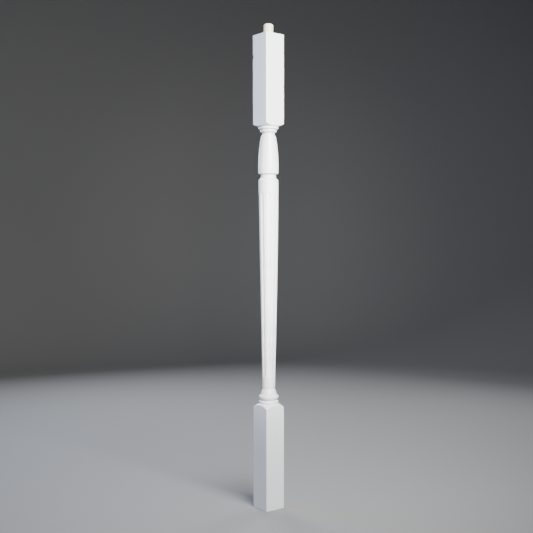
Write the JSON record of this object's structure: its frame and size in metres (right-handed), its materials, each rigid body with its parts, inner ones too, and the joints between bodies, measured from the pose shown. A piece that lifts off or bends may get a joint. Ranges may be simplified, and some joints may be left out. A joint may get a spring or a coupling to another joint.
{
  "type": "stair baluster",
  "caption": "Slender wooden stair baluster with square end blocks, a fluted tapering shaft, a small vase, turned rings, and a round pin at the top.",
  "frame": {"origin": "centre of the flat lower end of the plain square block, which is the underside that it stands on", "axes": "+Z along the turning axis towards the pin; X and Y square to the flat faces of the blocks"},
  "size_m": [0.0444, 0.0444, 0.9654],
  "materials": {
    "painted_wood": "white factory primer or satin paint over turned wood, with soft brushed lathe marks",
    "bare_wood": "bare pale hardwood dowel, sanded, with fine straight grain"
  },
  "bodies": {
    "root": {"baluster": "painted_wood", "dowel_pin": "bare_wood"}
  },
  "joints": []
}
